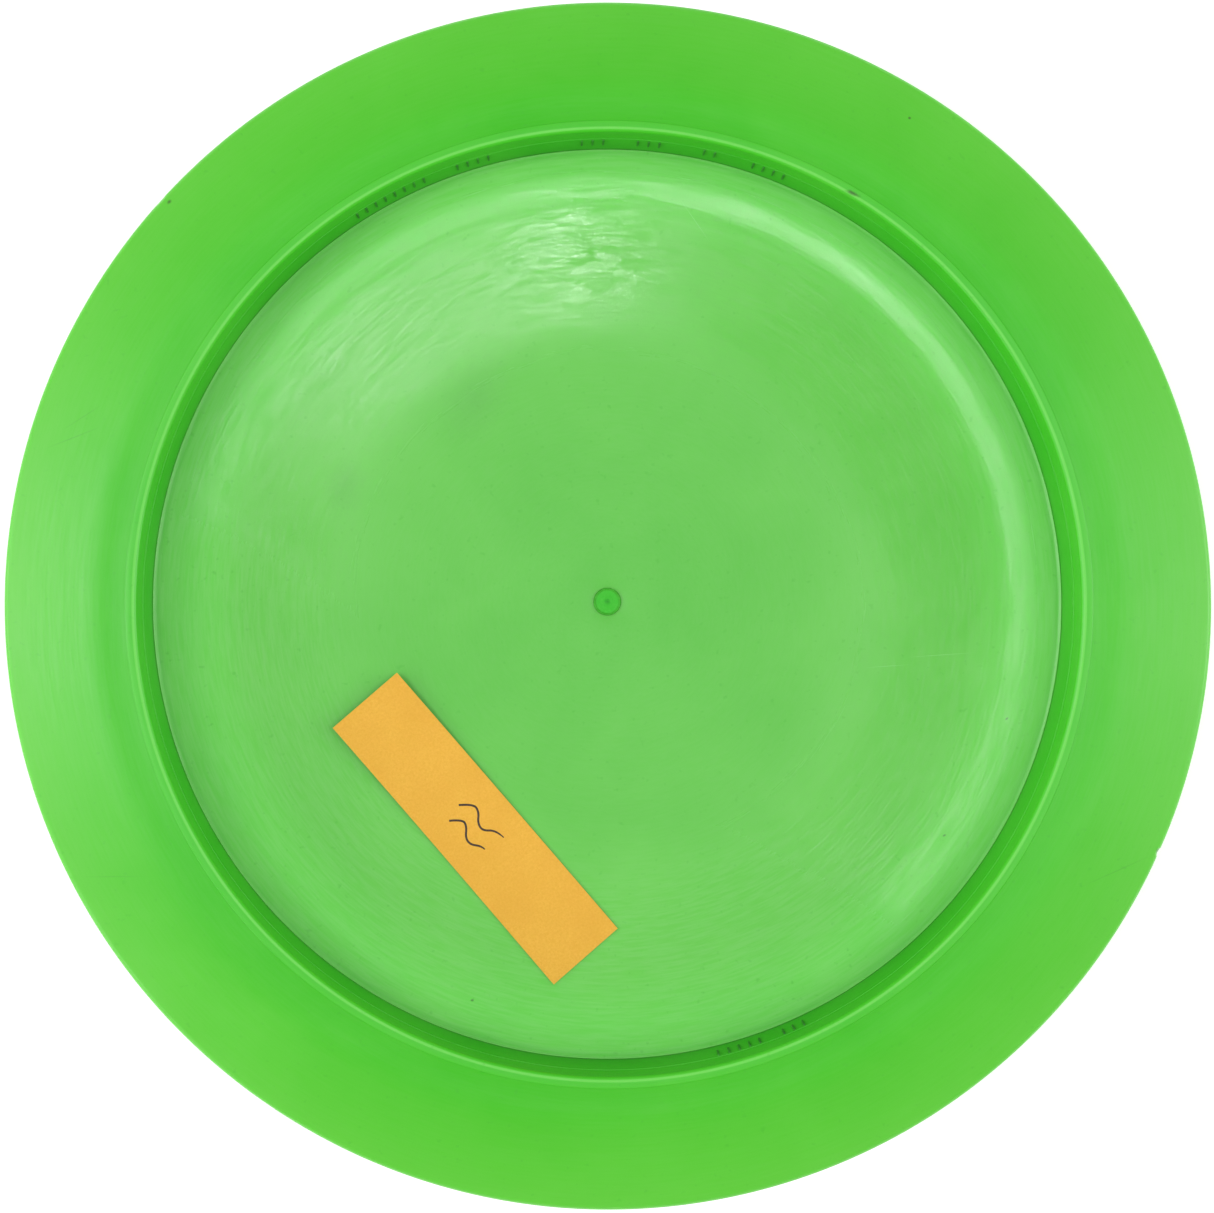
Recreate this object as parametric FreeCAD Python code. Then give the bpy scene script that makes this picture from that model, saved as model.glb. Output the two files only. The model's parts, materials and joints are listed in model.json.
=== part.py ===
# A flying disc of the kind thrown at disc golf targets: a distance driver.
#
# The disc lies on its flight plate with its open side up.  The origin is the centre of
# the plate's outer face, which the disc rests on, and +Z is the spin axis, out of the
# open side.  The pieces are a thick wing-shaped rim, a thin dished flight plate keyed
# into it by a tongue, the trimmed stub of the moulding gate, the raised marks on the
# rim's inner wall, and a strip of sticky paper lying in the hollow.
#
# Lengths are in millimetres and angles in degrees.

import FreeCAD
import Part

import math
import os

# ---- Overall sizes
OUTER_DIAMETER = 211.0
RIM_WIDTH = 23.9            # from the nose in to the mouth of the inner wall
RIM_DEPTH = 11.2            # from the lip down to the foot of the inner wall
PLATE_THICKNESS = 1.8

# ---- Dish of the flight plate, seen from the open side
PLATE_FLAT_RADIUS = 42.0    # the plate is flat inside this radius, on both faces
DISH_RISE = 0.9             # rise of the hollow face from the flat to the shoulder
SHOULDER_WIDTH = 11.65      # ring inside the wall's foot, where the dish turns up more steeply
SHOULDER_RISE = 1.5         # rise of the hollow face from the shoulder to the wall's foot
OUTER_FACE_RISE = 2.4       # rise of the outer face from the flat to the wall's foot
EDGE_RIDGE_WIDTH = 0.3      # fine ridge of flash where the plate meets the wall
EDGE_RIDGE_HEIGHT = 0.12

# ---- Inner wall of the rim: two drafted bands with a fine ledge between them
LIP_RADIUS = 0.8            # rounding of the lip towards the hollow
UPPER_BAND_DEPTH = 5.0      # from the lip down to the ledge
UPPER_BAND_DRAFT = 2.5
LEDGE_WIDTH = 0.12
LOWER_BAND_DRAFT = 6.0

# ---- Underside of the wing
BEAD_WIDTH = 1.1            # flat crest of the lip
BEAD_STEP = 0.12            # drop from the crest to the land
LAND_WIDTH = 3.5            # flat ring outside the bead
LAND_BLEND_RADIUS = 20.0    # turns the land into the sloping wing
NOSE_RADIUS = 1.4
NOSE_DROP = 5.3             # from the lip down to the centre of the nose

# ---- Tongue on the plate's edge, keyed into the rim
TONGUE_LENGTH = 5.0
TONGUE_THICKNESS = 1.0
TONGUE_TILT = 17.0
TONGUE_BULB_RADIUS = 0.8

# ---- Gate stub
GATE_DIAMETER = 4.9
GATE_SEAT_DEPTH = 1.0       # how deep it sits in the plate
GATE_STAND = 0.22           # how far its witness ring stands out of the plate
GATE_RING_WIDTH = 0.35
GATE_FLOOR_DROP = 0.16      # from the ring down to the stub's floor
GATE_PIP_RADIUS = 0.5
GATE_PIP_HEIGHT = 0.1

# ---- Raised marks on the lower band of the wall
MARK_HEIGHT = 2.6
MARK_WIDTH = 0.35
MARK_STAND = 0.22           # how far a mark stands out of the wall
MARK_BELOW_LEDGE = 0.5
MARK_PITCH = 1.9            # along the wall
MARK_ROOT = 0.4             # how deep a mark is keyed into the wall
# Each row of marks: the angle of its first mark round the axis, and how many it has.
MARK_ROWS = (
    (67.5, 4),
    (76.5, 2),
    (83.5, 3),
    (90.5, 3),
    (105.0, 4),
    (113.5, 8),
    (283.5, 5),
    (292.0, 3),
)

# ---- Paper tag, stuck down at one end
TAG_LENGTH = 60.0
TAG_WIDTH = 15.0
TAG_PAPER = 0.12
TAG_CENTRE = (-23.5, -40.2)
TAG_DIRECTION = -49.2       # from the free end to the stuck end
TAG_LIFT = 1.3              # how far the free end has curled off the plate
TAG_STUCK_LENGTH = 22.0
ADHESIVE_THICKNESS = 0.15
ADHESIVE_MARGIN = 0.8       # from the adhesive band to the paper's edges

# ---- Derived sizes
OUTER_RADIUS = OUTER_DIAMETER / 2
MOUTH_RADIUS = OUTER_RADIUS - RIM_WIDTH
DISH_DEPTH = DISH_RISE + SHOULDER_RISE
FOOT_HEIGHT = PLATE_THICKNESS + DISH_DEPTH
HEIGHT = FOOT_HEIGHT + RIM_DEPTH
LEDGE_HEIGHT = HEIGHT - UPPER_BAND_DEPTH
UPPER_BAND_FOOT = MOUTH_RADIUS - (UPPER_BAND_DEPTH - LIP_RADIUS) * math.tan(math.radians(UPPER_BAND_DRAFT))
LOWER_BAND_TOP = UPPER_BAND_FOOT - LEDGE_WIDTH
LOWER_BAND_HEIGHT = LEDGE_HEIGHT - FOOT_HEIGHT
FOOT_RADIUS = LOWER_BAND_TOP - LOWER_BAND_HEIGHT * math.tan(math.radians(LOWER_BAND_DRAFT))
SHOULDER_RADIUS = FOOT_RADIUS - SHOULDER_WIDTH

AXIS_POINT = FreeCAD.Vector(0, 0, 0)
AXIS = FreeCAD.Vector(0, 0, 1)


def at(radius, height):
    """A point of a cross-section, which lies in the XZ plane."""
    return FreeCAD.Vector(radius, 0, height)


def on_circle(centre, radius, degrees):
    """The point of a circle in the cross-section at an angle from the +X side."""
    turn = math.radians(degrees)
    return centre + at(radius * math.cos(turn), radius * math.sin(turn))


def line(start, end):
    return Part.LineSegment(start, end).toShape()


def arc(centre, radius, first, last):
    """The arc of a circle in the cross-section between two angles."""
    ends = [on_circle(centre, radius, turn) for turn in (first, (first + last) / 2, last)]
    return Part.Arc(*ends).toShape()


def revolve(edges):
    """The solid that a closed cross-section sweeps round the axis."""
    section = Part.Face(Part.Wire(edges))
    return section.revolve(AXIS_POINT, AXIS, 360)


class TangentArc:
    """An arc of a cross-section that starts with a given slope.

    Its radius is negative where the slope falls towards the end.
    """

    def __init__(self, start, slope, end):
        run = end.x - start.x
        rise = end.z - start.z
        self.start = start
        self.end = end
        self.slope = slope
        self.end_slope = 2 * math.degrees(math.atan2(rise, run)) - slope
        self.radius = run / (math.sin(math.radians(self.end_slope)) - math.sin(math.radians(slope)))
        self.centre = on_circle(start, self.radius, 90 + slope)

    def edge(self):
        return arc(self.centre, self.radius, self.slope - 90, self.end_slope - 90)

    def height(self, radius):
        drop = math.sqrt(self.radius**2 - (radius - self.centre.x) ** 2)
        return self.centre.z - math.copysign(drop, self.radius)


# ---- The curves that pieces share
DISH_ARC = TangentArc(
    at(PLATE_FLAT_RADIUS, PLATE_THICKNESS), 0, at(SHOULDER_RADIUS, PLATE_THICKNESS + DISH_RISE)
)
SHOULDER_ARC = TangentArc(DISH_ARC.end, DISH_ARC.end_slope, at(FOOT_RADIUS, FOOT_HEIGHT))
OUTER_FACE_ARC = TangentArc(at(PLATE_FLAT_RADIUS, 0), 0, at(FOOT_RADIUS, OUTER_FACE_RISE))


def hollow_face_height(radius):
    """Height of the plate's hollow face."""
    if radius <= PLATE_FLAT_RADIUS:
        return PLATE_THICKNESS
    if radius <= SHOULDER_RADIUS:
        return DISH_ARC.height(radius)
    return SHOULDER_ARC.height(radius)


def flight_plate():
    """Thin dished plate with a bulb-edged tongue, and a seat for the gate stub."""
    ridge_foot = FOOT_RADIUS - EDGE_RIDGE_WIDTH
    ridge_start = at(ridge_foot, hollow_face_height(ridge_foot))
    ridge_crest = at(FOOT_RADIUS, FOOT_HEIGHT + EDGE_RIDGE_HEIGHT)
    shoulder = TangentArc(SHOULDER_ARC.start, SHOULDER_ARC.slope, ridge_start)
    plate = revolve([
        line(at(0, 0), OUTER_FACE_ARC.start),
        OUTER_FACE_ARC.edge(),
        line(OUTER_FACE_ARC.end, ridge_crest),
        line(ridge_crest, ridge_start),
        shoulder.edge(),
        DISH_ARC.edge(),
        line(DISH_ARC.start, at(0, PLATE_THICKNESS)),
        line(at(0, PLATE_THICKNESS), at(0, 0)),
    ])
    plate = plate.fuse(tongue())
    seat = Part.makeCylinder(
        GATE_DIAMETER / 2, GATE_SEAT_DEPTH, at(0, PLATE_THICKNESS - GATE_SEAT_DEPTH)
    )
    return plate.cut(seat).removeSplitter()


def tongue():
    """Tilted ring with a bulb along its outer edge, rooted in the plate's edge."""
    root = at(FOOT_RADIUS, (OUTER_FACE_RISE + FOOT_HEIGHT) / 2)
    tip = on_circle(root, TONGUE_LENGTH, TONGUE_TILT)
    inner = on_circle(root, -TONGUE_THICKNESS / 2, TONGUE_TILT)
    up = on_circle(at(0, 0), TONGUE_THICKNESS / 2, TONGUE_TILT + 90)
    corners = [inner - up, tip - up, tip + up, inner + up]
    web = revolve([line(corners[i - 1], corners[i]) for i in range(len(corners))])
    bulb = Part.makeTorus(tip.x, TONGUE_BULB_RADIUS, at(0, tip.z))
    return web.fuse(bulb)


def wing_top(nose):
    """The arc that carries the plate's outer face on, tangent to it and to the nose."""
    start = OUTER_FACE_ARC.end
    slope = OUTER_FACE_ARC.end_slope
    normal = on_circle(at(0, 0), 1, 90 + slope)
    reach = nose - start
    radius = (reach.dot(reach) - NOSE_RADIUS**2) / (2 * (reach.dot(normal) - NOSE_RADIUS))
    centre = start + normal * radius
    to_nose = nose - centre
    touch = math.degrees(math.atan2(to_nose.z, to_nose.x))
    return arc(centre, radius, slope - 90, touch), touch


def rim(plate):
    """Wing-shaped ring with a bead along its lip, moulded round the plate's tongue."""
    nose = at(OUTER_RADIUS - NOSE_RADIUS, HEIGHT - NOSE_DROP)
    top_arc, touch = wing_top(nose)

    bead_inner = at(MOUTH_RADIUS + LIP_RADIUS, HEIGHT)
    bead_outer = at(bead_inner.x + BEAD_WIDTH, HEIGHT)
    land_height = HEIGHT - BEAD_STEP
    land_inner = at(bead_outer.x + BEAD_STEP, land_height)
    land_outer = at(land_inner.x + LAND_WIDTH, land_height)

    # The sloping underside is the straight line that touches the land's blend and the nose.
    blend = land_outer - at(0, LAND_BLEND_RADIUS)
    across = nose - blend
    bearing = math.degrees(math.atan2(across.z, across.x))
    facing = bearing + math.degrees(math.acos((LAND_BLEND_RADIUS - NOSE_RADIUS) / across.Length))

    lip_centre = at(bead_inner.x, HEIGHT - LIP_RADIUS)
    upper_band_foot = at(UPPER_BAND_FOOT, LEDGE_HEIGHT)
    lower_band_top = at(LOWER_BAND_TOP, LEDGE_HEIGHT)
    foot = at(FOOT_RADIUS, FOOT_HEIGHT)
    ring = revolve([
        top_arc,
        arc(nose, NOSE_RADIUS, touch, facing),
        line(on_circle(nose, NOSE_RADIUS, facing), on_circle(blend, LAND_BLEND_RADIUS, facing)),
        arc(blend, LAND_BLEND_RADIUS, facing, 90),
        line(land_outer, land_inner),
        line(land_inner, bead_outer),
        line(bead_outer, bead_inner),
        arc(lip_centre, LIP_RADIUS, 90, 180),
        line(on_circle(lip_centre, LIP_RADIUS, 180), upper_band_foot),
        line(upper_band_foot, lower_band_top),
        line(lower_band_top, foot),
        line(foot, OUTER_FACE_ARC.end),
    ])
    return ring.cut(plate)


def gate_stub():
    """Plug in the plate's centre with a witness ring and the pip left by the gate."""
    radius = GATE_DIAMETER / 2
    bottom = PLATE_THICKNESS - GATE_SEAT_DEPTH
    crest = PLATE_THICKNESS + GATE_STAND
    floor = crest - GATE_FLOOR_DROP
    outline = [
        at(0, bottom),
        at(radius, bottom),
        at(radius, PLATE_THICKNESS),
        at(radius - GATE_RING_WIDTH / 4, crest),
        at(radius - GATE_RING_WIDTH * 3 / 4, crest),
        at(radius - GATE_RING_WIDTH, floor),
        at(GATE_PIP_RADIUS, floor),
        at(0, floor + GATE_PIP_HEIGHT),
    ]
    return revolve([line(outline[i - 1], outline[i]) for i in range(len(outline))])


def wall_marks(ring):
    """Rows of short plain bars that stand out of the wall's lower band."""
    top = LEDGE_HEIGHT - MARK_BELOW_LEDGE
    bottom = top - MARK_HEIGHT
    lean = math.tan(math.radians(LOWER_BAND_DRAFT))

    def wall(height):
        return LOWER_BAND_TOP - (LEDGE_HEIGHT - height) * lean

    corners = [
        at(wall(bottom) - MARK_STAND, bottom),
        at(wall(bottom) + MARK_ROOT, bottom),
        at(wall(top) + MARK_ROOT, top),
        at(wall(top) - MARK_STAND, top),
    ]
    section = Part.Face(Part.Wire([line(corners[i - 1], corners[i]) for i in range(len(corners))]))
    mark_angle = math.degrees(MARK_WIDTH / LOWER_BAND_TOP)
    pitch_angle = math.degrees(MARK_PITCH / LOWER_BAND_TOP)
    bar = section.revolve(AXIS_POINT, AXIS, mark_angle)
    bars = []
    for first_angle, count in MARK_ROWS:
        for index in range(count):
            turned = bar.copy()
            turned.rotate(AXIS_POINT, AXIS, first_angle + index * pitch_angle)
            bars.append(turned)
    return Part.makeCompound(bars), ring.cut(bars)


def tag_point(along, across, height):
    """A point over the tag, from its length and width coordinates."""
    turn = math.radians(TAG_DIRECTION)
    x = TAG_CENTRE[0] + along * math.cos(turn) - across * math.sin(turn)
    y = TAG_CENTRE[1] + along * math.sin(turn) + across * math.cos(turn)
    return FreeCAD.Vector(x, y, height)


def tag_underside(along, across):
    """The paper follows the plate where it is stuck and curls up towards its free end."""
    free_length = TAG_LENGTH - TAG_STUCK_LENGTH
    from_stuck = max(0.0, TAG_LENGTH / 2 - TAG_STUCK_LENGTH - along)
    curl = TAG_LIFT * (from_stuck / free_length) ** 2
    flat = tag_point(along, across, 0)
    plate = hollow_face_height(math.hypot(flat.x, flat.y))
    return plate + ADHESIVE_THICKNESS + curl


def tag_face():
    """The underside of the paper as one smooth surface."""
    rows, columns = 31, 9
    grid = []
    for row in range(rows):
        along = TAG_LENGTH * (row / (rows - 1) - 0.5)
        line_of_points = []
        for column in range(columns):
            across = TAG_WIDTH * (column / (columns - 1) - 0.5)
            line_of_points.append(tag_point(along, across, tag_underside(along, across)))
        grid.append(line_of_points)
    surface = Part.BSplineSurface()
    surface.interpolate(grid)
    return surface.toShape()


def tag_adhesive(plate):
    """Thin band that fills the gap between the plate and the stuck end of the paper."""
    near = TAG_LENGTH / 2 - TAG_STUCK_LENGTH
    far = TAG_LENGTH / 2 - ADHESIVE_MARGIN
    side = TAG_WIDTH / 2 - ADHESIVE_MARGIN
    base = PLATE_THICKNESS / 2
    outline = [(near, -side), (far, -side), (far, side), (near, side)]
    corners = [tag_point(along, across, base) for along, across in outline]
    footprint = Part.Face(Part.makePolygon(corners + corners[:1]))
    column = footprint.extrude(FreeCAD.Vector(0, 0, HEIGHT))
    paper_and_above = tag_face().extrude(FreeCAD.Vector(0, 0, 2 * HEIGHT))
    return column.cut(plate).cut(paper_and_above)


def largest_solid(shape):
    """The main solid of a cut."""
    return max(shape.Solids, key=lambda solid: solid.Volume)


def main():
    plate = flight_plate()
    ring = rim(plate)
    marks, ring = wall_marks(ring)
    nodes = {
        "rim": ring,
        "flight_plate": plate,
        "gate_stub": gate_stub(),
        "wall_marks": marks,
        "paper_tag": tag_face().extrude(FreeCAD.Vector(0, 0, TAG_PAPER)),
        "tag_adhesive": largest_solid(tag_adhesive(plate)),
    }
    os.makedirs("parts", exist_ok=True)
    for name, shape in nodes.items():
        shape.exportStep("parts/" + name + ".step")
        box = shape.BoundBox
        print(
            f"{name}: {len(shape.Solids)} solids, valid {shape.isValid()}, {shape.Volume:.1f} mm3,"
            f" z {box.ZMin:.2f} to {box.ZMax:.2f}"
        )


main()
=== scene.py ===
import json
import math

import bmesh
import bpy
from mathutils import Matrix, Vector


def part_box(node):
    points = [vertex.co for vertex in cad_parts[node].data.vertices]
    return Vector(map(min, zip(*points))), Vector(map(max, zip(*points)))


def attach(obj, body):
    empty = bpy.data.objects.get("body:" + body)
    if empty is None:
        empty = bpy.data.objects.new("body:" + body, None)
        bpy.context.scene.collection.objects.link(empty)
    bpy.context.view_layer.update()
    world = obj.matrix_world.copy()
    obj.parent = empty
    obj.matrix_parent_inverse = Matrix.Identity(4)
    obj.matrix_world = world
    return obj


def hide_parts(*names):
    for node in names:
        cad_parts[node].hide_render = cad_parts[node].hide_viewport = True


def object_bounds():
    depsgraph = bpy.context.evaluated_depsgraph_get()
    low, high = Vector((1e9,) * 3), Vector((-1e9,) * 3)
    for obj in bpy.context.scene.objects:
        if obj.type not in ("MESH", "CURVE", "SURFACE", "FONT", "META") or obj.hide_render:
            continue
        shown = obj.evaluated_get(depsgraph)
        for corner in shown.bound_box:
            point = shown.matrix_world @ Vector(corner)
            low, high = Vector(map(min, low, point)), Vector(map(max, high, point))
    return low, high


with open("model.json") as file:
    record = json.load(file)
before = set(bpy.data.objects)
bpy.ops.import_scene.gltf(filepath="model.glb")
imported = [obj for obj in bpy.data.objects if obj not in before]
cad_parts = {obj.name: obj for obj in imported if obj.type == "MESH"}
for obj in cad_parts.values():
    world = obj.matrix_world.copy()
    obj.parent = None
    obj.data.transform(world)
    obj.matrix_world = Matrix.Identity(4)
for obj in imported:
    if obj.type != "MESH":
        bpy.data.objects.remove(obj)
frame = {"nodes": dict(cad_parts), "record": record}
cad_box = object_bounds()

# ---- Sizes, in metres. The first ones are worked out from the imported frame.
MM = 0.001


def section(node):
    """Radius and height of every corner of a CAD node."""
    return [(Vector(v.co[:2]).length, v.co.z) for v in frame["nodes"][node].data.vertices]


def mount(name):
    return next(m for m in frame["record"]["mounts"] if m["name"] == name)


OUTER_RADIUS = cad_box[1].x
LIP_HEIGHT = cad_box[1].z
FOOT_RADIUS = min(radius for radius, height in section("rim"))
SEAM = [height for radius, height in section("rim") if radius < FOOT_RADIUS + 0.01 * MM]
FOOT_HEIGHT = max(SEAM)
SEAM_HEIGHT = min(SEAM)
PLATE_FLAT_RADIUS = max(radius for radius, height in section("flight_plate") if height < 0.001 * MM)
PLATE_HEIGHT = max(h for r, h in section("flight_plate") if r < PLATE_FLAT_RADIUS - MM)
GATE_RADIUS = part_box("gate_stub")[1].x
GATE_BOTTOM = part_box("gate_stub")[0].z
GATE_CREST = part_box("gate_stub")[1].z
CREST_MIDDLE = Vector(mount("lip_face")["pos_m"][:2]).length

BEAD_WIDTH = 1.1 * MM
BEAD_STEP = 0.12 * MM
LIP_ROUNDING = 0.8 * MM
UPPER_BAND_DEPTH = 5.0 * MM
UPPER_BAND_DRAFT = math.radians(2.5)
LEDGE_WIDTH = 0.12 * MM
LAND_WIDTH = 3.5 * MM
LAND_BLEND_RADIUS = 20 * MM
NOSE_RADIUS = 1.4 * MM
NOSE_DROP = 5.3 * MM
RIM_EDGE = 0.05 * MM
DISH_RUN = 27 * MM
DISH_RISE = 0.9 * MM
SHOULDER_WIDTH = 9.35 * MM
SHOULDER_START_SLOPE = 0.115
SHOULDER_FILLET = 0.4 * MM
RIDGE_WIDTH = 0.3 * MM
RIDGE_HEIGHT = 0.12 * MM
PLATE_EDGE = 0.06 * MM
GATE_RING_DEPTH = 0.16 * MM
GATE_EDGE = 0.03 * MM
MARK_EDGE = 0.08 * MM
TAG_LENGTH = 60 * MM
TAG_WIDTH = 15 * MM
TAG_PAPER = 0.12 * MM
TAG_CENTRE = Vector((-23.5, -40.2)) * MM
TAG_TURN = math.radians(-49.2)
TAG_GAP = 0.15 * MM
TAG_LIFT = 1.3 * MM
TAG_STUCK_LENGTH = 22 * MM
TAG_EDGE = 0.02 * MM
PEN_WIDTH = 0.38 * MM
PEN_FLATNESS = 0.12
PEN_LIFT = 0.01 * MM

# Where on the nose each nick is, in degrees, then how far it spreads and how deep it goes.
NICKS = ((-24.5, 1.1 * MM, 0.45 * MM), (137.9, 0.7 * MM, 0.25 * MM))

CREST_INNER = CREST_MIDDLE - BEAD_WIDTH / 2
CREST_OUTER = CREST_MIDDLE + BEAD_WIDTH / 2
MOUTH_RADIUS = CREST_INNER - LIP_ROUNDING
LEDGE_HEIGHT = LIP_HEIGHT - UPPER_BAND_DEPTH
LEDGE_OUTER = MOUTH_RADIUS - (UPPER_BAND_DEPTH - LIP_ROUNDING) * math.tan(UPPER_BAND_DRAFT)
LEDGE_INNER = LEDGE_OUTER - LEDGE_WIDTH
LAND_HEIGHT = LIP_HEIGHT - BEAD_STEP
SHOULDER_RADIUS = FOOT_RADIUS - SHOULDER_WIDTH
ROUND_STEPS = 360
DISH_STEPS = 18

STUDIO_REACH = 1.5
FLOOR_HALF_WIDTH = 3.0
FLOOR_GAP = 0.02 * MM
CAMERA_ABOVE_LIP = 400 * MM
CAMERA_PLACE = Vector((-13.4, 0.4)) * MM
CAMERA_TILT = (0.0277, -0.0067, 0)


# ---- Making meshes

def line_to(bm, tip, radius, height):
    """Carries a cross-section on with a straight run, and returns its new end."""
    end = bmesh.ops.extrude_vert_indiv(bm, verts=[tip])["verts"][0]
    end.co = (radius, 0, height)
    return end


def arc_to(bm, tip, centre, degrees, steps):
    """Carries a cross-section on with an arc about centre, anticlockwise if degrees is positive."""
    swept = bmesh.ops.spin(
        bm, geom=[tip], cent=(centre[0], 0, centre[1]), axis=(0, -1, 0), dvec=(0, 0, 0),
        angle=math.radians(degrees), steps=steps,
        use_merge=False, use_normal_flip=False, use_duplicate=False,
    )
    return swept["geom_last"][0]


def turn_round_axis(bm):
    """Sweeps the cross-section once round the axis and closes it."""
    bmesh.ops.spin(
        bm, geom=bm.verts[:] + bm.edges[:], cent=(0, 0, 0), axis=(0, 0, 1), dvec=(0, 0, 0),
        angle=math.tau, steps=ROUND_STEPS,
        use_merge=True, use_normal_flip=False, use_duplicate=False,
    )
    bmesh.ops.remove_doubles(bm, verts=bm.verts, dist=0.001 * MM)
    bmesh.ops.recalc_face_normals(bm, faces=bm.faces)


def soften(bm, width, angle, segments=2):
    """Rounds every edge that is sharper than angle."""
    sharp = [e for e in bm.edges if len(e.link_faces) == 2 and e.calc_face_angle() > math.radians(angle)]
    bmesh.ops.bevel(
        bm, geom=sharp, offset=width, offset_type="OFFSET", segments=segments, profile=0.5,
        affect="EDGES", material=-1, clamp_overlap=True,
    )


def piece_from(bm, name, node=None, crease=35):
    """Turns a finished bmesh into a piece that rides on the disc."""
    for face in bm.faces:
        face.smooth = True
    for edge in bm.edges:
        edge.smooth = edge.calc_face_angle(0) < math.radians(crease)
    mesh = bpy.data.meshes.new(name)
    bm.to_mesh(mesh)
    bm.free()
    piece = bpy.data.objects.new(name, mesh)
    bpy.context.scene.collection.objects.link(piece)
    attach(piece, "root")
    if node:
        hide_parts(node)
    return piece


def point_at(radius, degrees, height=0.0):
    turn = math.radians(degrees)
    return Vector((radius * math.cos(turn), radius * math.sin(turn), height))


def dent(bm, place, reach, depth, direction):
    """Pushes a small hollow into the surface, on a local finer grid."""
    near = [e for e in bm.edges if all((v.co - place).length < 2.5 * reach for v in e.verts)]
    bmesh.ops.subdivide_edges(bm, edges=near, cuts=3, use_grid_fill=True)
    for vertex in bm.verts:
        away = (vertex.co - place).length / reach
        if away < 1:
            vertex.co += direction * depth * (1 - away * away) ** 2


# ---- The rim

def slope_facing(blend, nose):
    """Which way the sloping underside faces: it touches the land's blend and the nose."""
    across = nose - blend
    return math.atan2(across.y, across.x) + math.acos((LAND_BLEND_RADIUS - NOSE_RADIUS) / across.length)


def outer_face_end_slope():
    run = FOOT_RADIUS - PLATE_FLAT_RADIUS
    return 2 * math.atan2(SEAM_HEIGHT, run)


def wing_top_centre(nose):
    """Centre of the arc that carries the plate's outer face on to the nose."""
    start = Vector((FOOT_RADIUS, SEAM_HEIGHT))
    slope = outer_face_end_slope()
    normal = Vector((-math.sin(slope), math.cos(slope)))
    reach = nose - start
    radius = (reach.length_squared - NOSE_RADIUS**2) / (2 * (reach.dot(normal) - NOSE_RADIUS))
    return start + normal * radius


def make_rim():
    nose = Vector((OUTER_RADIUS - NOSE_RADIUS, LIP_HEIGHT - NOSE_DROP))
    land_outer = CREST_OUTER + BEAD_STEP + LAND_WIDTH
    blend = Vector((land_outer, LAND_HEIGHT - LAND_BLEND_RADIUS))
    facing = slope_facing(blend, nose)
    top_centre = wing_top_centre(nose)
    touch = math.atan2(*reversed(nose - top_centre))

    bm = bmesh.new()
    foot = bm.verts.new((FOOT_RADIUS, 0, FOOT_HEIGHT))
    tip = line_to(bm, foot, LEDGE_INNER, LEDGE_HEIGHT)
    tip = line_to(bm, tip, LEDGE_OUTER, LEDGE_HEIGHT)
    tip = line_to(bm, tip, MOUTH_RADIUS, LIP_HEIGHT - LIP_ROUNDING)
    tip = arc_to(bm, tip, (CREST_INNER, LIP_HEIGHT - LIP_ROUNDING), -90, 8)
    tip = line_to(bm, tip, CREST_OUTER, LIP_HEIGHT)
    tip = line_to(bm, tip, CREST_OUTER + BEAD_STEP, LAND_HEIGHT)
    tip = line_to(bm, tip, land_outer, LAND_HEIGHT)
    tip = arc_to(bm, tip, blend, math.degrees(facing) - 90, 8)
    for share in (0.25, 0.5, 0.75, 1.0):
        slope_start = blend + LAND_BLEND_RADIUS * Vector((math.cos(facing), math.sin(facing)))
        slope_end = nose + NOSE_RADIUS * Vector((math.cos(facing), math.sin(facing)))
        tip = line_to(bm, tip, *slope_start.lerp(slope_end, share))
    tip = arc_to(bm, tip, nose, math.degrees(touch - facing), 18)
    sweep = math.degrees(outer_face_end_slope() - math.pi / 2 - touch)
    tip = arc_to(bm, tip, top_centre, sweep, 16)
    bm.edges.new((tip, foot))
    turn_round_axis(bm)
    soften(bm, RIM_EDGE, 30)
    for degrees, reach, depth in NICKS:
        place = point_at(OUTER_RADIUS - 0.3 * MM, degrees, nose.y + 0.5 * MM)
        dent(bm, place, reach, depth, -place.normalized())
    return piece_from(bm, "moulded_rim", "rim")


# ---- The flight plate

def dish_height(radius):
    """Height of the plate's hollow face: flat, then a shallow dish, then the turned-up shoulder."""
    dished = max(0.0, min(radius, SHOULDER_RADIUS) - PLATE_FLAT_RADIUS) / DISH_RUN
    height = PLATE_HEIGHT + DISH_RISE * dished**2
    out = max(0.0, radius - SHOULDER_RADIUS)
    rest = FOOT_HEIGHT - height - SHOULDER_START_SLOPE * SHOULDER_WIDTH
    return height + (SHOULDER_START_SLOPE * out + rest * (out / SHOULDER_WIDTH) ** 2 if out else 0.0)


def outer_face_height(radius):
    share = max(0.0, radius - PLATE_FLAT_RADIUS) / (FOOT_RADIUS - PLATE_FLAT_RADIUS)
    return SEAM_HEIGHT * share**2


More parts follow.
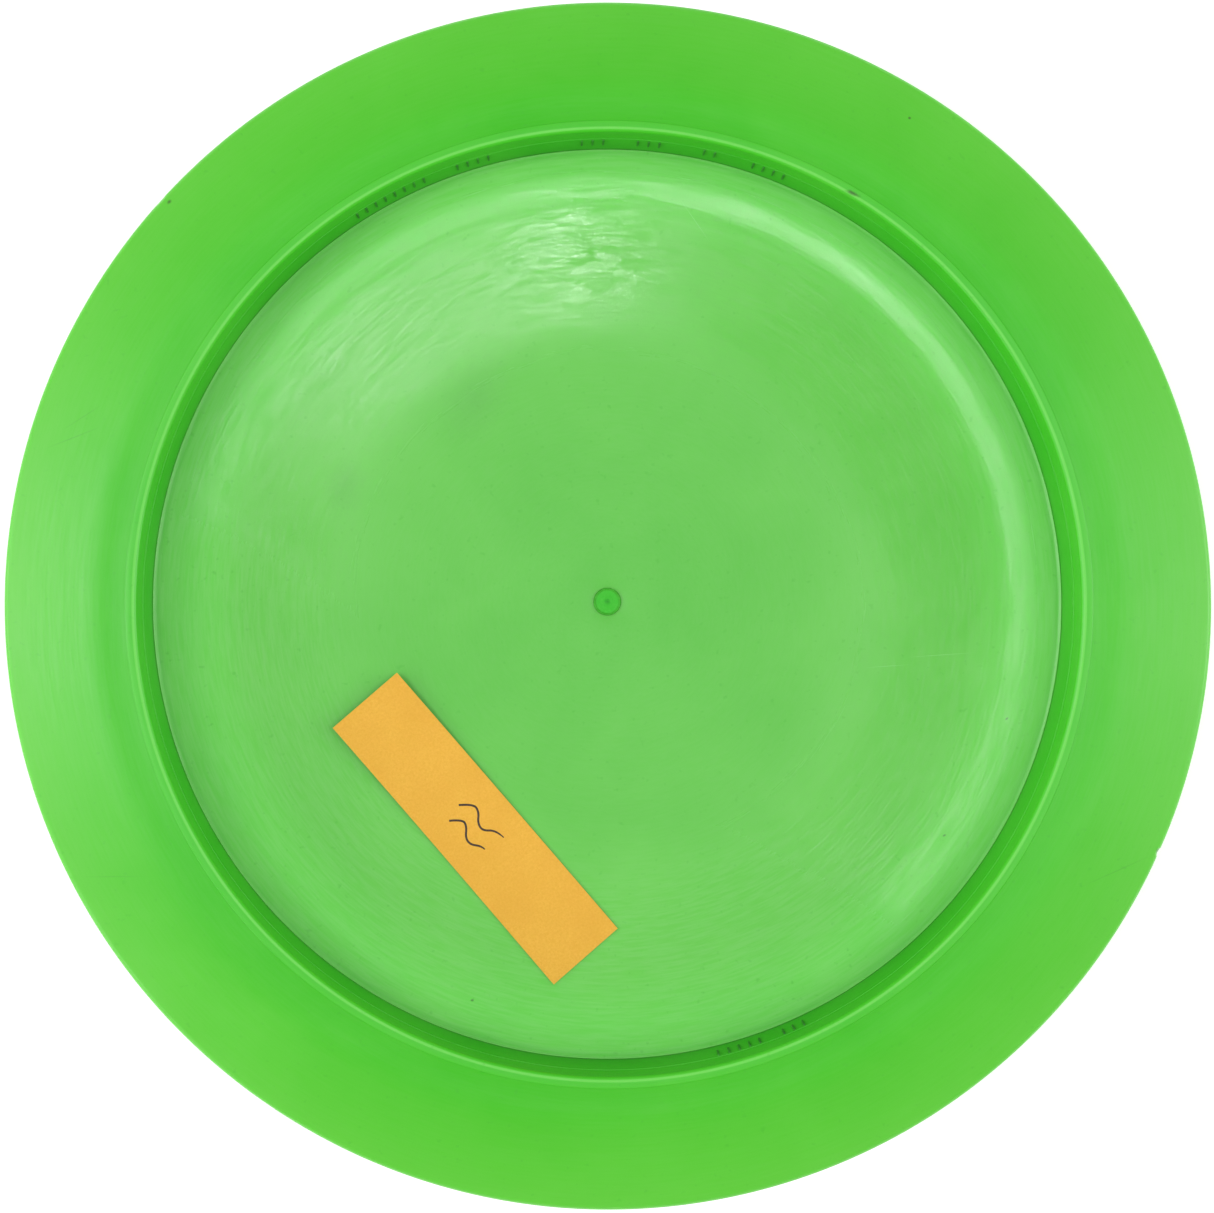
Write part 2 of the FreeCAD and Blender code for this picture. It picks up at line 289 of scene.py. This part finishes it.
def make_plate():
    bm = bmesh.new()
    first = bm.verts.new((0, 0, GATE_BOTTOM))
    tip = line_to(bm, first, GATE_RADIUS, GATE_BOTTOM)
    tip = line_to(bm, tip, GATE_RADIUS, PLATE_HEIGHT)
    for radius in (6 * MM, 18 * MM, 30 * MM, PLATE_FLAT_RADIUS):
        tip = line_to(bm, tip, radius, PLATE_HEIGHT)
    ridge_foot = FOOT_RADIUS - RIDGE_WIDTH
    runs = (
        (PLATE_FLAT_RADIUS, SHOULDER_RADIUS - SHOULDER_FILLET),
        (SHOULDER_RADIUS + SHOULDER_FILLET, ridge_foot),
    )
    for start, end in runs:
        for step in range(DISH_STEPS + 1):
            radius = start + (end - start) * step / DISH_STEPS
            if radius > PLATE_FLAT_RADIUS:
                tip = line_to(bm, tip, radius, dish_height(radius))
    tip = line_to(bm, tip, FOOT_RADIUS - RIDGE_WIDTH * 0.4, FOOT_HEIGHT + RIDGE_HEIGHT)
    tip = line_to(bm, tip, FOOT_RADIUS, FOOT_HEIGHT + RIDGE_HEIGHT * 0.9)
    for step in range(DISH_STEPS + 1):
        radius = FOOT_RADIUS - (FOOT_RADIUS - PLATE_FLAT_RADIUS) * step / DISH_STEPS
        tip = line_to(bm, tip, radius, outer_face_height(radius))
    for radius in (24 * MM, 8 * MM, 0):
        tip = line_to(bm, tip, radius, 0)
    turn_round_axis(bm)
    soften(bm, PLATE_EDGE, 40)
    return piece_from(bm, "dished_plate", "flight_plate")


# ---- The gate stub

def make_gate_stub():
    """Witness ring outside, then a sunk floor with two faint rings and a pip."""
    bm = bmesh.new()
    floor = GATE_CREST - GATE_RING_DEPTH
    first = bm.verts.new((0, 0, GATE_BOTTOM))
    tip = line_to(bm, first, GATE_RADIUS, GATE_BOTTOM)
    ring = ((0, PLATE_HEIGHT), (0.09, GATE_CREST), (0.26, GATE_CREST), (0.35, floor))
    for inward, height in ring:
        tip = line_to(bm, tip, GATE_RADIUS - inward * MM, height)
    faint_rings = ((1.7, 0.03), (1.5, 0.0), (1.05, 0.0), (0.9, 0.05), (0.75, 0.0))
    pip = ((0.5, 0.0), (0.25, 0.1), (0, 0.1))
    for radius, rise in faint_rings + pip:
        tip = line_to(bm, tip, radius * MM, floor + rise * MM)
    turn_round_axis(bm)
    soften(bm, GATE_EDGE, 20)
    return piece_from(bm, "gate_stub_trimmed", "gate_stub")


# ---- The raised marks

def make_wall_marks():
    """The plain bars of the CAD node, with their edges rounded as a mould leaves them."""
    bm = bmesh.new()
    bm.from_mesh(frame["nodes"]["wall_marks"].data)
    bmesh.ops.remove_doubles(bm, verts=bm.verts, dist=0.001 * MM)
    bmesh.ops.dissolve_limit(
        bm, angle_limit=math.radians(5), verts=bm.verts[:], edges=bm.edges[:], use_dissolve_boundaries=False
    )
    soften(bm, MARK_EDGE, 40, 3)
    return piece_from(bm, "raised_wall_marks", "wall_marks")


# ---- The tag

def tag_place(along, across):
    """From the tag's own length and width to a place on the disc."""
    turned = Matrix.Rotation(TAG_TURN, 2) @ Vector((along, across))
    return turned + TAG_CENTRE


def tag_underside(along, across):
    """Follows the plate at the stuck end and curls off it towards the free end."""
    free = TAG_LENGTH - TAG_STUCK_LENGTH
    loose = max(0.0, TAG_LENGTH / 2 - TAG_STUCK_LENGTH - along) / free
    return dish_height(tag_place(along, across).length) + TAG_GAP + TAG_LIFT * loose**2


def lay_on_tag(vertices, above):
    """Moves a flat layout, drawn along and across the tag, onto the paper."""
    for vertex in vertices:
        along, across, height = vertex.co
        flat = tag_place(along, across)
        vertex.co = (flat.x, flat.y, tag_underside(along, across) + above + height)


def make_tag():
    bm = bmesh.new()
    bmesh.ops.create_grid(bm, x_segments=60, y_segments=16, size=0.5)
    bmesh.ops.scale(bm, vec=(TAG_LENGTH, TAG_WIDTH, 1), verts=bm.verts)
    lay_on_tag(bm.verts, 0)
    lower = bm.faces[:]
    raised = bmesh.ops.extrude_face_region(bm, geom=lower)
    lifted = [g for g in raised["geom"] if isinstance(g, bmesh.types.BMVert)]
    bmesh.ops.translate(bm, vec=(0, 0, TAG_PAPER), verts=lifted)
    bmesh.ops.recalc_face_normals(bm, faces=bm.faces)
    soften(bm, TAG_EDGE, 40)
    return piece_from(bm, "paper_strip", "paper_tag")


def make_pen_strokes():
    """Two plain wavy lines in pen, one under the other, which stand for no letter or number."""
    strokes = (
        ((-5.0, 0.4), (-3.4, 2.6), (-1.7, 2.3), (-0.4, 0.9), (1.2, 0.6), (2.7, 2.5), (4.6, 2.7)),
        ((-4.0, -2.7), (-2.6, -0.7), (-1.2, -1.0), (0.2, -2.5), (1.7, -2.6), (3.1, -1.3), (4.0, -1.2)),
    )
    line = bpy.data.curves.new("pen_line", "CURVE")
    line.dimensions = "3D"
    line.bevel_depth = PEN_WIDTH / 2
    line.bevel_resolution = 3
    line.resolution_u = 10
    line.use_fill_caps = True
    for points in strokes:
        spline = line.splines.new("NURBS")
        spline.points.add(len(points) - 1)
        for point, (along, across) in zip(spline.points, points):
            point.co = (along * MM, across * MM, 0, 1)
        spline.order_u = 3
        spline.use_endpoint_u = True
        spline.points[-1].radius = 0.5
    drawn = bpy.data.objects.new("pen_line", line)
    bpy.context.scene.collection.objects.link(drawn)
    bm = bmesh.new()
    bm.from_mesh(bpy.data.meshes.new_from_object(drawn))
    bpy.data.objects.remove(drawn)
    bmesh.ops.scale(bm, vec=(1, 1, PEN_FLATNESS), verts=bm.verts)
    lay_on_tag(bm.verts, TAG_PAPER + PEN_LIFT)
    bmesh.ops.recalc_face_normals(bm, faces=bm.faces)
    return piece_from(bm, "pen_strokes")


# ---- Making materials

def colour(red, green, blue):
    """A colour given the way a paint chart does, from 0 to 255, as the shader wants it."""
    parts = [c / 255 for c in (red, green, blue)]
    return [c / 12.92 if c <= 0.04045 else ((c + 0.055) / 1.055) ** 2.4 for c in parts] + [1.0]


class Finish:
    """One material, with short ways to add and join its nodes."""

    def __init__(self, name):
        self.material = bpy.data.materials.new(name)
        self.material.use_nodes = True
        self.tree = self.material.node_tree
        self.shader = self.tree.nodes["Principled BSDF"]
        self.place = self.add("ShaderNodeTexCoord").outputs["Object"]

    def add(self, kind, values=(), **settings):
        node = self.tree.nodes.new(kind)
        for key, value in settings.items():
            setattr(node, key, value)
        for key, value in dict(values).items():
            self.put(node.inputs[key], value)
        return node

    def put(self, socket, value):
        if isinstance(value, bpy.types.NodeSocket):
            self.tree.links.new(value, socket)
        else:
            socket.default_value = value

    def set(self, **values):
        for key, value in values.items():
            self.put(self.shader.inputs[key.replace("_", " ")], value)

    def maths(self, operation, first, second=0.0, third=0.0):
        node = self.add("ShaderNodeMath", {0: first, 1: second, 2: third}, operation=operation)
        return node.outputs[0]

    def vector(self, operation, first, second=(0, 0, 0)):
        node = self.add("ShaderNodeVectorMath", {0: first, 1: second}, operation=operation)
        return node.outputs["Value" if operation in ("LENGTH", "DOT_PRODUCT") else "Vector"]

    def span(self, value, low, high, to_low=0.0, to_high=1.0, smooth=False):
        """Maps low..high onto another range, and stops at its ends."""
        node = self.add(
            "ShaderNodeMapRange",
            {"Value": value, "From Min": low, "From Max": high, "To Min": to_low, "To Max": to_high},
            interpolation_type="SMOOTHSTEP" if smooth else "LINEAR",
        )
        return node.outputs[0]

    def noise(self, vector, scale, detail=2.0, roughness=0.5, distortion=0.0):
        node = self.add(
            "ShaderNodeTexNoise",
            {
                "Vector": vector, "Scale": scale, "Detail": detail,
                "Roughness": roughness, "Distortion": distortion,
            },
        )
        return node.outputs["Fac"]

    def ramp(self, value, stops):
        node = self.add("ShaderNodeValToRGB", {"Fac": value})
        elements = node.color_ramp.elements
        while len(elements) < len(stops):
            elements.new(0.5)
        for element, (position, tone) in zip(elements, stops):
            element.position = position
            element.color = tone
        return node.outputs["Color"]

    def mix(self, share, first, second, blend="MIX"):
        node = self.add("ShaderNodeMix", data_type="RGBA", blend_type=blend)
        for index, value in ((0, share), (6, first), (7, second)):
            self.put(node.inputs[index], value)
        return node.outputs[2]

    def bump(self, height, distance, strength=1.0, normal=None):
        node = self.add("ShaderNodeBump", {"Height": height, "Distance": distance, "Strength": strength})
        if normal is not None:
            self.put(node.inputs["Normal"], normal)
        return node.outputs["Normal"]

    def radius(self):
        """Distance from the disc's axis."""
        return self.vector("LENGTH", self.vector("MULTIPLY", self.place, (1, 1, 0)))

    def height(self):
        return self.add("ShaderNodeSeparateXYZ", {"Vector": self.place}).outputs["Z"]

    def ring_grain(self, spacing, length):
        """Coordinates for lines that run round the axis: spacing apart, in metres, and length in radians."""
        around = self.vector("NORMALIZE", self.vector("MULTIPLY", self.place, (1, 1, 0)))
        around = self.vector("SCALE", around)
        self.put(around.node.inputs["Scale"], 1 / length)
        across = self.maths("MULTIPLY", self.radius(), 1 / spacing)
        rings = self.add("ShaderNodeCombineXYZ", {"Z": across}).outputs["Vector"]
        return self.vector("ADD", around, rings)

    def mark(self, x, y, degrees, half_length, half_width, soft=0.6, ragged=0.0):
        """Mask of one long thin mark on the surface, in millimetres about the axis."""
        node = self.add("ShaderNodeMapping", {"Vector": self.place}, vector_type="TEXTURE")
        node.inputs["Location"].default_value = (x * MM, y * MM, 0)
        node.inputs["Rotation"].default_value = (0, 0, math.radians(degrees))
        node.inputs["Scale"].default_value = (half_length * MM, half_width * MM, 1.0)
        distance = self.vector("LENGTH", node.outputs["Vector"])
        if ragged:
            torn = self.maths("SUBTRACT", self.noise(self.place, 1500, 3.0, 0.7), 0.5)
            distance = self.maths("MULTIPLY_ADD", torn, ragged, distance)
        return self.span(distance, 1.0, 1.0 - soft)

    def together(self, masks):
        """One mask that holds all the given ones."""
        total = masks[0]
        for mask in masks[1:]:
            total = self.maths("MAXIMUM", total, mask)
        return total


def add_moulded_surface(finish, tone, pale, brushing, roughness, streaks=0.05, ripple=None):
    """Cloudy tone, turning lines, orange peel and streaky gloss of soft moulded plastic."""
    cloud = finish.noise(finish.place, 38, 3.0, 0.55, 0.6)
    speck = finish.noise(finish.place, 900, 1.0)
    tone = finish.mix(finish.span(cloud, 0.35, 0.7, 0.0, 0.14), tone, pale)
    tone = finish.mix(finish.span(speck, 0.68, 0.8, 0.0, 0.25), tone, colour(60, 168, 36))

    turning = finish.noise(finish.ring_grain(0.45 * MM, 0.13), 1.0, 3.0, 0.6)
    hairs = finish.noise(finish.ring_grain(0.16 * MM, 0.08), 1.0, 2.0, 0.6)
    peel = finish.noise(finish.place, 2200, 2.0)
    normal = None
    if ripple is not None:
        swell = finish.noise(finish.ring_grain(2.2 * MM, 0.07), 1.0, 1.0, 0.5, 0.6)
        normal = finish.bump(finish.maths("MULTIPLY", swell, ripple), 0.06 * MM)
    normal = finish.bump(peel, 0.006 * MM, 0.6, normal)
    normal = finish.bump(turning, 0.012 * MM * brushing, 1.0, normal)
    normal = finish.bump(hairs, 0.006 * MM * brushing, 1.0, normal)

    worn = finish.span(turning, 0.3, 0.75, -0.02, 0.03)
    patchy = finish.span(cloud, 0.3, 0.7, -0.02, 0.02)
    rough = finish.maths("ADD", finish.maths("ADD", worn, patchy), roughness)
    streak = finish.noise(finish.ring_grain(0.42 * MM, 0.08), 1.0, 3.0, 0.6)
    gloss = finish.maths("MULTIPLY_ADD", finish.span(streak, 0.36, 0.64, -1.0, 1.0), streaks, 0.5)
    finish.set(Roughness=rough, Normal=normal, Specular_IOR_Level=gloss)
    return tone


def add_translucency(finish, weight, depth):
    finish.set(Subsurface_Weight=weight, Subsurface_Scale=depth)
    finish.shader.inputs["Subsurface Radius"].default_value = (0.55, 1.0, 0.35)


def rim_finish():
    """Translucent green: deep where the wing is thick, paler towards the thin nose. The inner wall and lip
    carry painted shade and a painted highlight.
    """
    finish = Finish("rim_translucent_green")
    out = finish.span(finish.radius(), FOOT_RADIUS, OUTER_RADIUS)
    tone = finish.ramp(out, (
        # Foot to 0.054: the inner wall with painted shade: a dark line in the corner at its foot, a darker
        # lower band, and a lighter upper band where it faces up.
        (0.0, colour(42, 160, 20)),
        (0.006, colour(52, 176, 25)),
        (0.026, colour(52, 176, 25)),
        (0.031, colour(58, 184, 27)),
        (0.054, colour(68, 192, 26)),
        # 0.059 to 0.071: painted highlight on the lip's rounding. From 0.078 to 0.110 the crest, a little
        #                 paler than the land.
        (0.059, colour(104, 206, 78)),
        (0.071, colour(100, 203, 72)),
        (0.078, colour(66, 187, 36)),
        (0.110, colour(70, 190, 38)),
        (0.120, colour(58, 184, 12)),
        (0.19, colour(58, 184, 12)),
        (0.32, colour(64, 187, 18)),
        (0.46, colour(74, 189, 31)),
        (0.75, colour(82, 192, 39)),
        (1.0, colour(90, 194, 48)),
    ))
    tone = add_moulded_surface(finish, tone, colour(112, 212, 70), 0.5, 0.40)
    dirt = finish.together([
        finish.mark(42.2, 70.9, 155, 1.6, 0.45, 0.8, 0.9),
        finish.mark(95.9, -43.5, -24, 0.9, 0.5, 0.7, 0.6),
        finish.mark(-76.9, 69.9, 48, 0.6, 0.4, 0.8, 0.5),
        finish.mark(52.6, 84.6, 0, 0.35, 0.3, 0.7, 0.5),
    ])
    tone = finish.mix(finish.maths("MULTIPLY", dirt, 0.75), tone, colour(52, 60, 30))
    scratch = finish.together([
        finish.mark(88.2, -46.6, 22, 8.0, 0.10, 0.9, 0.8),
        finish.mark(-93.0, 28.5, 20, 6.0, 0.12, 0.9, 0.8),
        finish.mark(-91.5, 32.0, 31, 5.0, 0.10, 0.9, 0.8),
        finish.mark(-86.0, -47.5, 2, 6.5, 0.08, 0.9, 0.8),
    ])
    tone = finish.mix(finish.maths("MULTIPLY", scratch, 0.35), tone, colour(60, 140, 44))
    finish.set(Base_Color=tone)
    add_translucency(finish, 0.35, 2.5 * MM)
    return finish.material


def plate_polish(finish, ripple):
    """Roughness and streakiness: dull in the middle, in the shoulder and on the near side, smooth between."""
    roughness = finish.span(finish.radius(), 36 * MM, 54 * MM, 0.42, 0.13, smooth=True)
    dulled = finish.span(finish.radius(), 74 * MM, 79 * MM, 0.0, 0.25, smooth=True)
    roughness = finish.maths("ADD", roughness, dulled)
    across = finish.vector("DOT_PRODUCT", finish.place, (0.5, 0.866, 0))
    near_side = finish.span(across, -10 * MM, -32 * MM, 0.0, 0.4, smooth=True)
    roughness = finish.maths("MAXIMUM", roughness, near_side)
    roughness = finish.maths("MULTIPLY_ADD", ripple, -0.05, roughness)
    streaks = finish.span(finish.radius(), 44 * MM, 56 * MM, 0.05, 0.17, smooth=True)
    return roughness, finish.maths("MULTIPLY_ADD", ripple, 0.25, streaks)


def plate_finish():
    """Paler than the rim, because it is thin, with the turning lines of the mould in it. Its edge at the wall
    carries painted shade and a painted highlight.
    """
    finish = Finish("plate_translucent_green")
    out = finish.span(finish.radius(), 0, FOOT_RADIUS)
    tone = finish.ramp(out, (
        (0.0, colour(89, 186, 65)),
        (0.30, colour(90, 186, 65)),
        (0.47, colour(94, 189, 69)),
        (0.62, colour(100, 194, 75)),
        (0.80, colour(99, 195, 73)),
        # From 0.93 the tone darkens towards the wall: painted shade next to the wall, darkest in the narrow
        # band at 0.9955. The pale line from 0.9965 is a painted highlight on the edge ridge.
        (0.93, colour(101, 207, 75)),
        (0.98, colour(98, 202, 71)),
        (0.9955, colour(82, 190, 58)),
        (0.9965, colour(108, 208, 88)),
    ))
    ripple = finish.mark(-4, 62, 0, 18, 15, 1.0, 0.3)
    roughness, streaks = plate_polish(finish, ripple)
    tone = add_moulded_surface(finish, tone, colour(140, 222, 112), 0.6, roughness, streaks, ripple)
    smudge = finish.together([
        finish.mark(-23.5, 36.0, 60, 9.0, 6.0, 1.0, 1.0),
        finish.mark(-47.0, 20.5, 80, 6.0, 4.0, 1.0, 1.0),
    ])
    tone = finish.mix(finish.maths("MULTIPLY", smudge, 0.22), tone, colour(84, 150, 76))
    hairlines = finish.together([
        finish.mark(59.5, -9.5, 4, 6.5, 0.07, 0.9, 0.5),
        finish.mark(50.0, -11.5, 4, 4.5, 0.07, 0.9, 0.5),
        finish.mark(15.8, 68.0, -55, 4.6, 0.07, 0.9, 0.5),
    ])
    tone = finish.mix(finish.maths("MULTIPLY", hairlines, 0.4), tone, colour(170, 230, 150))
    specks = finish.together([
        finish.mark(-24.0, -70.5, 0, 0.35, 0.25, 0.5, 0.5),
        finish.mark(59.8, -41.5, 30, 0.4, 0.2, 0.5, 0.5),
        finish.mark(71.0, -20.8, 40, 0.4, 0.2, 0.5, 0.5),
    ])
    tone = finish.mix(finish.maths("MULTIPLY", specks, 0.6), tone, colour(50, 96, 40))
    finish.set(Base_Color=tone)
    add_translucency(finish, 0.35, 1.5 * MM)
    return finish.material


def gate_finish():
    """Cut plastic: deeper green, with the torn swirl of the trimmed feed, and painted shade round its edge.
    """
    finish = Finish("gate_cut_green")
    out = finish.span(finish.radius(), 0, GATE_RADIUS)
    swirl = finish.noise(finish.place, 1100, 3.0, 0.6, 1.5)
    tone = finish.ramp(out, (
        (0.0, colour(28, 140, 24)),
        (0.14, colour(40, 160, 30)),
        (0.25, colour(54, 180, 38)),
        (0.80, colour(60, 184, 42)),
        # From 0.88 out: a darker ring, painted shade in the gap round the stub.
        (0.88, colour(56, 158, 30)),
        (1.0, colour(56, 156, 30)),
    ))
    tone = finish.mix(finish.span(swirl, 0.45, 0.7, 0.0, 0.4), tone, colour(84, 196, 62))
    finish.set(Base_Color=tone, Roughness=0.6, Normal=finish.bump(swirl, 0.02 * MM), Specular_IOR_Level=0.3)
    add_translucency(finish, 0.3, 1.0 * MM)
    return finish.material


def mark_finish():
    """The raised marks, painted dark green for the shade along their edges, mottled in two tones."""
    finish = Finish("mark_painted_shade_green")
    shade_mottle = finish.noise(finish.place, 260, 3.0, 0.6)
    # Both dark tones are painted shade along the raised edges.
    tone = finish.mix(finish.span(shade_mottle, 0.35, 0.65), colour(46, 140, 34), colour(38, 112, 32))
    finish.set(Base_Color=tone, Roughness=0.5, Normal=finish.bump(shade_mottle, 0.02 * MM))
    return finish.material


def paper_finish():
    """Orange sticky paper: short fibres, faint clouds and soft handling creases."""
    finish = Finish("tag_orange_paper")
    fibre = finish.noise(finish.place, 2600, 4.0, 0.7, 0.4)
    cloud = finish.noise(finish.place, 120, 2.0, 0.5)
    tone = finish.mix(finish.span(fibre, 0.3, 0.7), colour(222, 166, 60), colour(234, 182, 74))
    tone = finish.mix(finish.span(cloud, 0.35, 0.65, 0.0, 0.35), tone, colour(218, 162, 58))
    normal = finish.bump(fibre, 0.02 * MM, 0.8)
    normal = finish.bump(cloud, 0.15 * MM, 0.5, normal)
    finish.set(Base_Color=tone, Roughness=0.82, Normal=normal, Specular_IOR_Level=0.25)
    add_translucency(finish, 0.2, 0.3 * MM)
    return finish.material


def ink_finish():
    finish = Finish("pen_dark_ink")
    flow = finish.noise(finish.place, 900, 2.0)
    tone = finish.mix(finish.span(flow, 0.3, 0.7), colour(34, 24, 18), colour(70, 48, 28))
    finish.set(Base_Color=tone, Roughness=0.55, Normal=finish.bump(flow, 0.01 * MM))
    return finish.material


def glue_finish():
    finish = Finish("tag_glue")
    cloud = finish.noise(finish.place, 400, 2.0)
    tone = finish.mix(finish.span(cloud, 0.3, 0.7), colour(196, 190, 150), colour(214, 208, 172))
    finish.set(Base_Color=tone, Roughness=0.5, Normal=finish.bump(cloud, 0.02 * MM))
    return finish.material


def floor_finish():
    finish = Finish("floor_white_card")
    grain = finish.noise(finish.place, 300, 2.0)
    tone = finish.mix(finish.span(grain, 0.3, 0.7), colour(244, 244, 243), colour(247, 247, 246))
    finish.set(Base_Color=tone, Roughness=0.9, Emission_Color=colour(255, 255, 255), Emission_Strength=0.35)
    return finish.material


def coat(piece, material):
    piece.data.materials.clear()
    piece.data.materials.append(material)


# ---- Floor, lights and camera

def make_floor():
    bm = bmesh.new()
    bmesh.ops.create_grid(bm, x_segments=8, y_segments=8, size=FLOOR_HALF_WIDTH)
    bmesh.ops.translate(bm, vec=(0, 0, cad_box[0].z - FLOOR_GAP), verts=bm.verts)
    mesh = bpy.data.meshes.new("floor")
    bm.to_mesh(mesh)
    bm.free()
    floor = bpy.data.objects.new("floor", mesh)
    bpy.context.scene.collection.objects.link(floor)
    return floor


def softbox(name, tilt, turn, size, power):
    """Round soft light, tilt degrees off the zenith, which shines at the disc and isn't seen itself."""
    direction = Matrix.Rotation(math.radians(turn), 3, "Z") @ Matrix.Rotation(math.radians(tilt), 3, "Y")
    lamp = bpy.data.lights.new(name, "AREA")
    lamp.shape = "DISK"
    lamp.size = size
    lamp.energy = power
    light = bpy.data.objects.new(name, lamp)
    light.location = direction @ Vector((0, 0, STUDIO_REACH))
    light.rotation_euler = direction.to_euler()
    light.visible_camera = False
    bpy.context.scene.collection.objects.link(light)


def make_studio():
    softbox("high_right", 20, 0, 0.5, 1.6)
    softbox("high_left", 20, 180, 0.5, 1.4)
    softbox("upper_right", 38, 0, 0.5, 2.9)
    softbox("upper_left", 38, 180, 0.5, 5.8)
    softbox("low_right", 70, 0, 0.5, 6.3)
    softbox("low_left", 70, 180, 0.5, 4.9)
    softbox("low_front_left", 70, 216, 0.5, 3.3)
    softbox("ceiling_lamp_left", 4.1, 119, 0.06, 0.14)
    softbox("ceiling_lamp_back", 5.5, 82, 0.06, 0.10)
    softbox("ceiling_spot", 5.4, 77, 0.016, 0.08)
    softbox("ceiling_lamp_middle", 2.0, -75, 0.05, 0.20)
    softbox("ceiling_lamp_front", 4.1, -38, 0.12, 0.10)
    world = bpy.data.worlds.new("pale_room")
    bpy.context.scene.world = world
    world.use_nodes = True
    sky = world.node_tree.nodes["Background"]
    sky.inputs["Color"].default_value = (1.0, 1.0, 1.0, 1.0)
    sky.inputs["Strength"].default_value = 0.5
    bpy.context.scene.view_settings.view_transform = "Standard"


def make_camera():
    """Straight above the disc, a little left of its centre and a little towards its top."""
    lens = bpy.data.cameras.new("overhead")
    lens.sensor_width = 36
    lens.lens = 68.7
    lens.shift_x = 0.0488
    lens.shift_y = -0.0587
    lens.clip_start = 0.01
    camera = bpy.data.objects.new("overhead", lens)
    camera.location = (*CAMERA_PLACE, LIP_HEIGHT + CAMERA_ABOVE_LIP)
    camera.rotation_euler = CAMERA_TILT
    bpy.context.scene.collection.objects.link(camera)
    bpy.context.scene.camera = camera


def main():
    make_camera()
    coat(make_rim(), rim_finish())
    coat(make_plate(), plate_finish())
    coat(make_gate_stub(), gate_finish())
    coat(make_wall_marks(), mark_finish())
    coat(make_tag(), paper_finish())
    coat(make_pen_strokes(), ink_finish())
    coat(frame["nodes"]["tag_adhesive"], glue_finish())
    coat(make_floor(), floor_finish())
    make_studio()


main()
